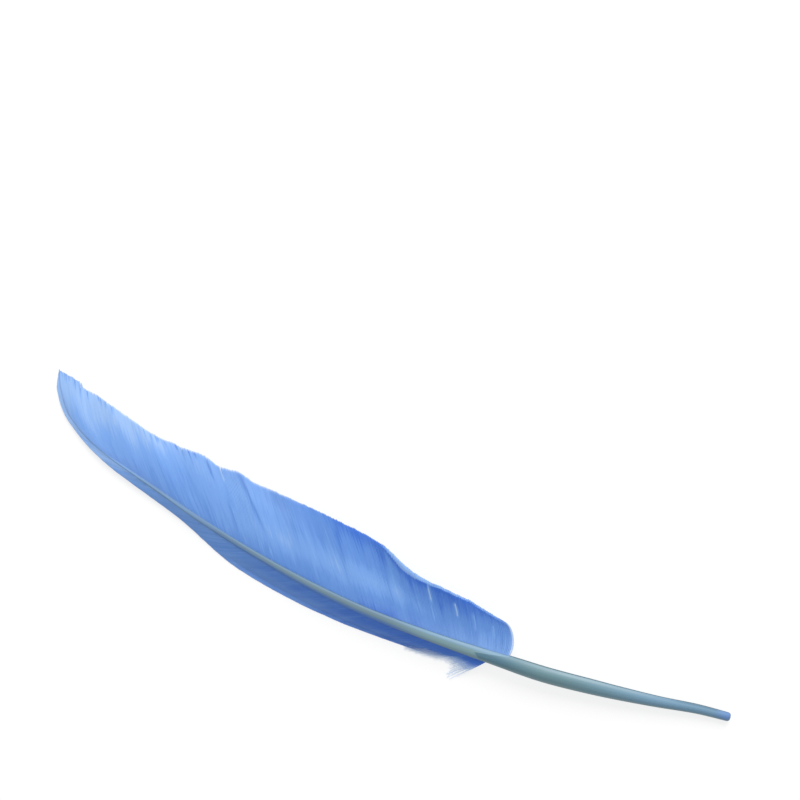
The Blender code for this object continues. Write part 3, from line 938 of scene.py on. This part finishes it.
def dyed_vane_material(colours):
    """Satin blue barbs: light by the tip, deeper by the base, streaked, fine barbules across, painted rim
    light and shade.
    """
    material, tree, shader = new_material("dyed_vane")
    run, barb = read_attribute(tree, "run"), read_attribute(tree, "barb")
    tone, rim = read_attribute(tree, "tone"), read_attribute(tree, "rim")
    inset, pale = read_attribute(tree, "inset"), read_attribute(tree, "pale")
    streak = place_streaks(tree, run, barb, 24.0, 0.24, 0.24)
    amount = map_range(tree, tone, 0.0, 0.5, 0.5, 1.0)
    shade = math_node(tree, "MULTIPLY_ADD", streak, amount, tone)
    # painted shade in a band just inside the rim, where the vane cups away from the lamp
    shade_behind_rim = math_node(tree, "MULTIPLY", map_range(tree, inset, 2.6, 1.2, 0.0, 0.09), rim)
    shade = math_node(tree, "SUBTRACT", shade, shade_behind_rim)
    stops = (
        (0.0, colours.vane_deep), (0.36, colours.vane_mid), (0.7, colours.vane_light),
        (1.0, colours.vane_pale),
    )
    dyed = ramp(tree, shade, stops)
    # painted light on the thin curled rim
    on_rim = math_node(tree, "MULTIPLY", map_range(tree, inset, 1.12, 0.85), rim)
    lit = mix_colour(tree, on_rim, dyed, colours.vane_rim_light)
    lit = mix_colour(tree, pale, lit, colours.vane_worn_and_backlit)
    across = read_attribute(tree, "across")
    spread = math_node(tree, "ABSOLUTE", across)
    # painted shade in the valleys where neighbouring barbs meet
    valley_shade = map_range(tree, spread, 0.3, 1.0, 0.0, 0.22)
    shaded = mix_colour(tree, valley_shade, lit, colours.vane_deep)
    slanted = math_node(tree, "MULTIPLY", spread, 7.0)
    chevron = math_node(tree, "MULTIPLY_ADD", run, 26.0, slanted)
    add_bump(tree, shader, math_node(tree, "SINE", chevron), 0.25, 0.00003)
    set_inputs(tree, shader, {
        "Base Color": shaded, "Roughness": map_range(tree, streak, -0.4, 0.4, 0.52, 0.64),
        "Specular IOR Level": 0.12,
    })
    return material


def add_bump(tree, shader, height, strength, distance):
    """Fine relief on the shader's surface."""
    bump = add_node(tree, "ShaderNodeBump", {"Strength": strength, "Distance": distance, "Height": height})
    set_inputs(tree, shader, {"Normal": bump.outputs[0]})


def rachis_colour(tree, run, side, colours):
    """The shaft between the vanes: olive, bluer beside them and towards the tip, painted shade low down, lit
    near the tip.
    """

    def tint(under, colour, value, low, high, most=1.0):
        return mix_colour(tree, map_range(tree, value, low, high, 0.0, most), under, colour)

    rachis = tint(colours.rachis, colours.rachis_side, side, 0.2, 0.9, 0.8)
    rachis = tint(rachis, colours.rachis_low_shade, side, -0.15, -0.8, 0.95)
    late = tint(colours.rachis_late, colours.rachis_late_side, side, 0.0, 0.6)
    rachis = tint(rachis, late, run, 158.0, 186.0, 0.9)
    rachis = tint(rachis, colours.rachis_tip, run, 130.0, 40.0)
    # painted light on the low side near the tip, against its shade
    low_tip_lit = math_node(
        tree, "MULTIPLY", map_range(tree, side, 0.6, 0.0), map_range(tree, run, 90.0, 68.0),
    )
    rachis = mix_colour(tree, low_tip_lit, rachis, colours.rachis_tip_low_lit)
    return tint(rachis, colours.rachis_end, run, 58.0, 38.0)


def quill_colour(tree, run, side, colours):
    """The bare quill, from its wedge to its end, with painted light from the table on its narrow side."""
    quill = ramp(tree, math_node(tree, "DIVIDE", run, LENGTH), (
        (0.68, colours.quill_start), (0.75, colours.quill), (0.935, colours.quill_late),
        (0.97, colours.quill_late), (1.0, colours.quill_end),
    ))
    return mix_colour(tree, map_range(tree, side, -0.45, -0.9, 0.0, 0.8), quill, colours.quill_low_bounce)


def highlight_band(tree, run, side):
    """How clear the painted highlight band is that runs along the shaft's wide side."""
    strength = ramp(tree, math_node(tree, "DIVIDE", run, LENGTH), tuple(
        (place / LENGTH, (share,) * 3) for place, share in HIGHLIGHT_BAND_STRENGTH
    ))
    rising = map_range(tree, side, 0.42, 0.76)
    falling = map_range(tree, side, 0.93, 0.84)
    return math_node(tree, "MULTIPLY", math_node(tree, "MULTIPLY", rising, falling), strength)


def dark_sides(tree, run, side):
    """How dark both sides of the shaft are: a dark line along the wide side, and painted shadow along the low
    side only up to the quill.
    """
    narrow_side = math_node(tree, "MULTIPLY", side, -1.0)
    low_side_shade = math_node(tree, "MULTIPLY", narrow_side, map_range(tree, run, 206.0, 197.0))
    outer = map_range(tree, math_node(tree, "MAXIMUM", side, low_side_shade), 0.88, 0.97, 0.0, 0.75)
    return math_node(tree, "MULTIPLY", outer, map_range(tree, run, 55.0, 120.0))


def dark_end(tree, run, side):
    """How dark the quill's wide side turns shortly before its end."""
    late = math_node(
        tree, "MULTIPLY", map_range(tree, run, 276.0, 288.0), map_range(tree, run, 300.0, 296.0),
    )
    return math_node(tree, "MULTIPLY", late, map_range(tree, side, 0.35, 0.8, 0.0, 0.4))


def shaft_material(colours):
    """Horn of the shaft: olive rachis, blue-grey quill from a wedge, streaks along it, painted highlight and
    shade.
    """
    material, tree, shader = new_material("shaft_horn")
    run, turn = read_attribute(tree, "run"), read_attribute(tree, "turn")
    side = read_attribute(tree, "side")
    streak = place_streaks(tree, run, math_node(tree, "MULTIPLY", turn, 40.0), 22.0, 0.5, 0.6)
    wide_reach = math_node(tree, "MULTIPLY", side, WEDGE_WIDE)
    narrow_reach = math_node(tree, "MULTIPLY", side, WEDGE_NARROW)
    opening = math_node(tree, "ADD", math_node(tree, "MAXIMUM", wide_reach, narrow_reach), WEDGE_POINT)
    wedge = map_range(tree, math_node(tree, "SUBTRACT", run, opening), -0.3, 0.8)
    rachis = rachis_colour(tree, run, side, colours)
    horn = mix_colour(tree, wedge, rachis, quill_colour(tree, run, side, colours))
    horn = mix_colour(tree, highlight_band(tree, run, side), horn, colours.horn_highlight)
    horn = mix_colour(tree, dark_end(tree, run, side), horn, colours.horn_edge)
    horn = mix_colour(tree, dark_sides(tree, run, side), horn, colours.horn_edge)
    worn = math_node(tree, "MULTIPLY_ADD", streak, 0.22, 0.5)
    greys = ramp(tree, worn, ((0.0, (0.1, 0.1, 0.1)), (1.0, (0.9, 0.9, 0.9))))
    horn = mix_colour(tree, 0.5, horn, greys, "SOFT_LIGHT")
    add_bump(tree, shader, streak, 0.35, 0.0001)
    set_inputs(tree, shader, {
        "Base Color": horn, "Roughness": map_range(tree, streak, -0.5, 0.5, 0.46, 0.58),
        "Specular IOR Level": 0.3,
    })
    return material


def down_material(colours):
    """Soft down: dyed at its roots and almost white at its ends."""
    material, tree, shader = new_material("soft_down")
    shade, barb = read_attribute(tree, "shade"), read_attribute(tree, "barb")
    streak = place_streaks(tree, shade, barb, 1.0, 0.12, 0.3)
    mixed = math_node(tree, "ADD", shade, streak)
    stops = (
        (0.0, colours.vane_deep), (0.25, colours.vane_mid), (0.5, colours.down_pale),
        (0.85, colours.down_white),
    )
    set_inputs(tree, shader, {
        "Base Color": ramp(tree, mixed, stops), "Roughness": 0.8, "Specular IOR Level": 0.2,
    })
    return material


def table_material(colour, glow):
    """White translucent table top, lit a little from below so that shadows on it stay pale."""
    material, tree, shader = new_material("pale_table")
    place = add_node(tree, "ShaderNodeTexCoord")
    noise = add_node(tree, "ShaderNodeTexNoise", {"Vector": place.outputs["Object"], "Scale": 30.0})
    paper = mix_colour(tree, noise.outputs["Fac"], [c * 0.985 for c in colour[:3]], colour)
    set_inputs(tree, shader, {
        "Base Color": paper, "Roughness": 0.9, "Specular IOR Level": 0.1,
        "Emission Color": (1.0, 1.0, 1.0, 1.0), "Emission Strength": glow,
    })
    return material


def shaft_places():
    """Where the shaft's sections stand, how much of the shaft's width each has and how far ahead it is."""
    end_radius = SHAFT_WIDTH[-1][1] / 2
    body_end = LENGTH - end_radius
    body = np.concatenate([np.linspace(0.3, 12, 14), np.linspace(13.5, body_end, 190)])
    return [(at, 1.0, 0.0) for at in body] + [
        (body_end, scale, share * end_radius) for share, scale in QUILL_ROUNDING
    ]


def shaft_rings():
    """Sections of the shaft from the tip to the quill's rounded end, with their run and side values."""
    theta = np.linspace(0, 2 * math.pi, SHAFT_SIDES, endpoint=False) - math.pi / 2
    rings = []
    for at, scale, ahead in shaft_places():
        half = float(along(SHAFT_WIDTH, at)) / 2 * scale
        ax, ay = (float(v) for v in shaft_across(np.array(at)))
        centre = at + ahead
        y = float(along(SHAFT_LINE, centre))
        z = float(shaft_height(np.array(centre)))
        power = 1 / (1 + SQUARE * float(smooth_step(214, 190, at)))
        out = np.sign(np.cos(theta)) * np.abs(np.cos(theta)) ** power
        up = np.sign(np.sin(theta)) * np.abs(np.sin(theta)) ** power
        groove = GROOVE_DEPTH * float(smooth_step(214, 200, at)) * float(smooth_step(10, 60, at))
        up = up + groove * np.exp(-(out / GROOVE_WIDTH) ** 2) * (np.sin(theta) < 0)
        ring = np.stack([
            centre + out * half * ax, y + out * half * ay, np.maximum(z + up * half, 0.02),
        ], 1)
        rings.append((ring, centre, out))
    return rings


def make_shaft(context):
    """The whole shaft as one closed mesh with a map of its own."""
    rings, sides = shaft_rings(), SHAFT_SIDES
    points = in_frame(np.concatenate([ring for ring, centre, out in rings]))
    count = len(rings)
    faces = []
    for j in range(count - 1):
        for k in range(sides):
            after = (k + 1) % sides
            faces.append((j * sides + k, j * sides + after, (j + 1) * sides + after, (j + 1) * sides + k))
    faces.append(tuple(range(sides))[::-1])
    faces.append(tuple((count - 1) * sides + k for k in range(sides)))
    mesh = bpy.data.meshes.new("shaft")
    mesh.from_pydata(points.tolist(), [], faces)
    attribute(mesh, "run", "FLOAT", np.repeat([centre for ring, centre, out in rings], sides))
    attribute(mesh, "side", "FLOAT", np.concatenate([out for ring, centre, out in rings]))
    turn = np.abs(np.linspace(-1, 1, sides, endpoint=False))
    attribute(mesh, "turn", "FLOAT", np.tile(turn, count))
    turn_outwards(mesh)
    layer = mesh.uv_layers.new(name="OFBake")
    for polygon in mesh.polygons:
        for loop in polygon.loop_indices:
            ring, side = divmod(mesh.loops[loop].vertex_index, sides)
            u, v = ring / (count - 1), side / sides
            if len(polygon.vertices) == 4:
                others = [mesh.loops[n].vertex_index % sides for n in polygon.loop_indices]
                if side == 0 and max(others) == sides - 1:
                    v = 1.0
            layer.data[loop].uv = (0.002 + 0.996 * u, 0.002 + 0.996 * v)
    mesh.shade_smooth()
    mesh.materials.append(shaft_material(context.scene.feather_colours))
    finish_piece(link_object("shaft", mesh))


def finish_piece(piece):
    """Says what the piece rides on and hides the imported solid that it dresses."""
    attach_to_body(piece, "root")
    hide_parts("feather")


def make_vane(context, name, guides):
    """Grows a vane's blades from its guides and gives them the dyed finish."""
    sizes = context.scene.feather_sizes
    colours = context.scene.feather_colours
    material = bpy.data.materials.get("dyed_vane") or dyed_vane_material(colours)
    count, steps = guides["half_width"].shape
    guide = guide_object(name + "_guides", guides)
    piece = grow_blades(
        guide, name, material, BARB_SIDES,
        Width=sizes.barb_overlap, Thickness=sizes.barb_thickness, Shingle=sizes.barb_shingle,
    )
    strip_map(piece.data, count, steps, BARB_SIDES)
    finish_piece(piece)


def make_down(context):
    """Grows the tuft of down as one piece of round strands."""
    sizes = context.scene.feather_sizes
    guide = strand_object("down_guides", down_guides(sizes))
    material = down_material(context.scene.feather_colours)
    piece = grow_blades(guide, "down_tuft", material, DOWN_SIDES, Width=1.0, Thickness=1.0, Shingle=0.0)
    shade_map(piece.data)
    finish_piece(piece)


def shade_map(mesh):
    """A map for baking the down: its shade along u and its strand along v."""
    layer = mesh.uv_layers.new(name="OFBake")
    corner = np.empty(len(mesh.loops), np.int32)
    mesh.loops.foreach_get("vertex_index", corner)
    values = {}
    for name in ("shade", "barb"):
        found = np.empty(len(mesh.vertices), np.float32)
        mesh.attributes[name].data.foreach_get("value", found)
        values[name] = found[corner]
    side = corner % DOWN_SIDES
    strands = values["barb"].max() + 1
    u = 0.02 + 0.94 * values["shade"]
    v = (values["barb"] + 0.1 + 0.35 * side) / strands
    layer.data.foreach_set("uv", np.stack([u, v], 1).astype(np.float32).ravel())


def aim(thing, place, target):
    """Puts a lamp at the place and turns it to the target."""
    direction = np.array(target, float) - np.array(place, float)
    flat = math.hypot(direction[0], direction[1])
    thing.location = place
    tilt = math.atan2(flat, -direction[2])
    thing.rotation_euler = (tilt, 0.0, math.atan2(direction[0], -direction[1]) + math.pi)


def make_camera(context):
    """The camera over the table, as the photograph was taken."""
    data = bpy.data.cameras.new("camera")
    data.lens = VIEW_LENS
    data.sensor_width = SENSOR
    data.clip_end = 20.0
    camera = link_object("camera", data)
    height = VIEW_FIELD * VIEW_LENS / SENSOR + VIEW_PLANE
    camera.location = (*VIEW_CENTRE, height)
    camera.rotation_euler = (0.0, 0.0, VIEW_TURN)
    context.scene.camera = camera


def make_stage(context):
    """A white table under even light and one soft lamp, and the camera over it."""
    settings = context.scene.feather_stage
    mesh = bpy.data.meshes.new("table")
    corners = [(x * TABLE_HALF, y * TABLE_HALF, 0.0) for x, y in ((-1, -1), (1, -1), (1, 1), (-1, 1))]
    mesh.from_pydata(corners, [], [(0, 1, 2, 3)])
    mesh.materials.append(table_material(settings.table_colour, settings.table_glow))
    table = link_object("table", mesh)
    world = bpy.data.worlds.new("studio")
    world.use_nodes = True
    background = world.node_tree.nodes["Background"]
    background.inputs["Color"].default_value = (1.0, 1.0, 1.0, 1.0)
    background.inputs["Strength"].default_value = settings.room_light
    context.scene.world = world
    up = (-math.sin(VIEW_TURN), math.cos(VIEW_TURN))
    right = (math.cos(VIEW_TURN), math.sin(VIEW_TURN))
    light = bpy.data.lights.new("softbox", "AREA")
    light.shape, light.size, light.energy = "SQUARE", settings.lamp_size, settings.lamp_power
    lamp = link_object("softbox", light)
    place = [VIEW_CENTRE[n] + up[n] * LAMP_UP + right[n] * LAMP_RIGHT for n in range(2)]
    aim(lamp, (*place, settings.lamp_height), (*VIEW_CENTRE, 0.0))
    context.scene.view_settings.view_transform = "Standard"
    make_camera(context)


def number(name, description, default, low, high, **more):
    """A number to set in the sidebar, between its least and its greatest value."""
    return bpy.props.FloatProperty(
        name=name, description=description, default=default, min=low, max=high, **more,
    )


def colour(name, description, value):
    """A colour to set in the sidebar."""
    return bpy.props.FloatVectorProperty(
        name=name, description=description, subtype="COLOR", size=3, min=0.0, max=1.0, default=value,
    )


class FeatherSizes(bpy.types.PropertyGroup):
    barb_spacing: number(
        "Barb spacing", "Distance between barbs along the shaft", 0.00062, 0.0004, 0.003,
        precision=5, unit="LENGTH",
    )
    barb_overlap: number(
        "Barb overlap", "Width of a barb as a share of its spacing", 1.3, 0.4, 2.0, subtype="FACTOR",
    )
    barb_thickness: number(
        "Barb thickness", "Thickness of a barb as a share of its spacing", 0.34, 0.05, 1.0,
        subtype="FACTOR",
    )
    barb_shingle: number(
        "Barb shingle", "How far each barb tips over the next one", 0.12, -0.5, 0.5, subtype="FACTOR",
    )
    down_strands: bpy.props.IntProperty(
        name="Down strands", description="Number of soft strands in the tuft of down",
        default=56, min=4, max=90,
    )
    down_density: number(
        "Down density", "Barbules along each millimetre of a soft strand", 7.0, 1.0, 14.0,
    )


class FeatherColours(bpy.types.PropertyGroup):
    vane_deep: colour("Vane, deep", "Dyed vane where it is darkest", (0.040, 0.130, 0.490))
    vane_mid: colour("Vane, middle", "Dyed vane by the shaft", (0.104, 0.232, 0.560))
    vane_light: colour("Vane, light", "Dyed vane in the middle of the feather", (0.152, 0.300, 0.630))
    vane_pale: colour("Vane, pale", "Dyed vane at the tip", (0.245, 0.387, 0.650))
    # painted light on the thin curled edge
    vane_rim_light: colour("Vane, rim", "Light rim along the wide vane's edge", (0.195, 0.335, 0.620))
    # worn thin ends, and painted light where thin ends let the light through
    vane_worn_and_backlit: colour("Vane, worn", "Thin ends that let light through", (0.60, 0.71, 0.87))
    rachis: colour("Rachis", "Shaft between the vanes", (0.114, 0.180, 0.225))
    rachis_side: colour("Rachis, wide side", "Shaft beside the wide vane", (0.088, 0.165, 0.255))
    rachis_late: colour("Rachis, late", "Shaft between the vanes before the quill", (0.150, 0.245, 0.268))
    rachis_late_side: colour("Rachis, late wide side", "The same beside the wide vane", (0.140, 0.250, 0.350))
    rachis_end: colour("Rachis, end", "Last part of the shaft at the feather's tip", (0.140, 0.260, 0.470))
    # blue, and darker with painted shade on the shaft's low side
    rachis_low_shade: colour("Rachis, narrow side", "Shaft beside the narrow vane", (0.062, 0.162, 0.420))
    rachis_tip: colour("Rachis, tip", "Shaft near the feather's tip", (0.100, 0.190, 0.345))
    # painted lighter against the shade on this side
    rachis_tip_low_lit: colour("Rachis, tip, low", "Low side of the shaft near the tip", (0.138, 0.244, 0.395))
    # painted highlight along the shaft's wide side
    horn_highlight: colour("Shaft, light band", "Light band along the shaft's wide side", (0.248, 0.330, 0.378))
    quill_start: colour("Quill, start", "Wedge where the bare quill begins", (0.070, 0.148, 0.200))
    quill: colour("Quill", "Bare quill", (0.101, 0.185, 0.212))
    # painted light from the table on the quill's lower side
    quill_low_bounce: colour("Quill, narrow side", "Lower side of the bare quill", (0.150, 0.235, 0.265))
    quill_late: colour("Quill, late", "Bare quill before its end", (0.110, 0.205, 0.295))
    quill_end: colour("Quill, end", "Last part of the bare quill", (0.090, 0.180, 0.380))
    # dark line along the shaft's sides, a painted shadow on its low side
    horn_edge: colour("Shaft, sides", "Dye held along both sides of the shaft", (0.03, 0.062, 0.085))
    down_pale: colour("Down, pale", "Down halfway to its ends", (0.42, 0.58, 0.84))
    down_white: colour("Down, ends", "Ends of the down", (0.70, 0.80, 0.93))


class FeatherStage(bpy.types.PropertyGroup):
    table_colour: colour("Table", "Colour of the table", (0.22, 0.22, 0.22))
    table_glow: number("Table glow", "Light that comes up through the table top", 0.745, 0.0, 3.0)
    room_light: number("Room light", "Even white light from all round", 0.74, 0.0, 3.0)
    lamp_power: number("Lamp power", "Power of the soft lamp", 27.0, 0.0, 200.0, unit="POWER")
    lamp_size: number("Lamp size", "Side of the square lamp", 1.2, 0.1, 3.0, unit="LENGTH")
    lamp_height: number(
        "Lamp height", "Height of the lamp over the table", 0.85, 0.3, 3.0, unit="LENGTH",
    )


class FEATHER_OT_shaft(bpy.types.Operator):
    """Make the rachis and quill"""

    bl_idname = "feather.shaft"
    bl_label = "Shaft"

    def execute(self, context):
        make_shaft(context)
        return {"FINISHED"}


class FEATHER_OT_wide_vane(bpy.types.Operator):
    """Grow the wide vane's barbs"""

    bl_idname = "feather.wide_vane"
    bl_label = "Wide vane"

    def execute(self, context):
        make_vane(context, "wide_vane", wide_vane_guides(context.scene.feather_sizes))
        return {"FINISHED"}


class FEATHER_OT_narrow_vane(bpy.types.Operator):
    """Grow the narrow vane's barbs"""

    bl_idname = "feather.narrow_vane"
    bl_label = "Narrow vane"

    def execute(self, context):
        make_vane(context, "narrow_vane", narrow_vane_guides(context.scene.feather_sizes))
        return {"FINISHED"}


class FEATHER_OT_down(bpy.types.Operator):
    """Grow the tuft of down at the narrow vane's base"""

    bl_idname = "feather.down"
    bl_label = "Down"

    def execute(self, context):
        make_down(context)
        return {"FINISHED"}


class FEATHER_OT_stage(bpy.types.Operator):
    """Set the table, the light and the camera"""

    bl_idname = "feather.stage"
    bl_label = "Table and light"

    def execute(self, context):
        make_stage(context)
        return {"FINISHED"}


class FEATHER_PT_panel(bpy.types.Panel):
    bl_idname = "FEATHER_PT_panel"
    bl_label = "Dyed wing feather"
    bl_space_type = "VIEW_3D"
    bl_region_type = "UI"
    bl_category = "Feather"

    def draw(self, context):
        scene = context.scene
        for label, group in (
            ("Sizes", scene.feather_sizes), ("Colours", scene.feather_colours),
            ("Stage", scene.feather_stage),
        ):
            box = self.layout.box()
            box.label(text=label)
            for name in type(group).__annotations__:
                box.prop(group, name)
        for operator in OPERATORS:
            self.layout.operator(operator.bl_idname)


OPERATORS = (
    FEATHER_OT_shaft, FEATHER_OT_wide_vane, FEATHER_OT_narrow_vane, FEATHER_OT_down, FEATHER_OT_stage,
)
GROUPS = (
    ("feather_sizes", FeatherSizes), ("feather_colours", FeatherColours), ("feather_stage", FeatherStage),
)


def register():
    """Adds the settings, the operators and the panel."""
    for name, group in GROUPS:
        bpy.utils.register_class(group)
        setattr(bpy.types.Scene, name, bpy.props.PointerProperty(type=group))
    for operator in OPERATORS:
        bpy.utils.register_class(operator)
    bpy.utils.register_class(FEATHER_PT_panel)


def unregister():
    """Takes them away again."""
    bpy.utils.unregister_class(FEATHER_PT_panel)
    for operator in reversed(OPERATORS):
        bpy.utils.unregister_class(operator)
    for name, group in reversed(GROUPS):
        delattr(bpy.types.Scene, name)
        bpy.utils.unregister_class(group)


def main():
    """Builds the feather and its stage."""
    register()
    bpy.ops.feather.shaft()
    bpy.ops.feather.wide_vane()
    bpy.ops.feather.narrow_vane()
    bpy.ops.feather.down()
    bpy.ops.feather.stage()


if __name__ == "__main__":
    main()
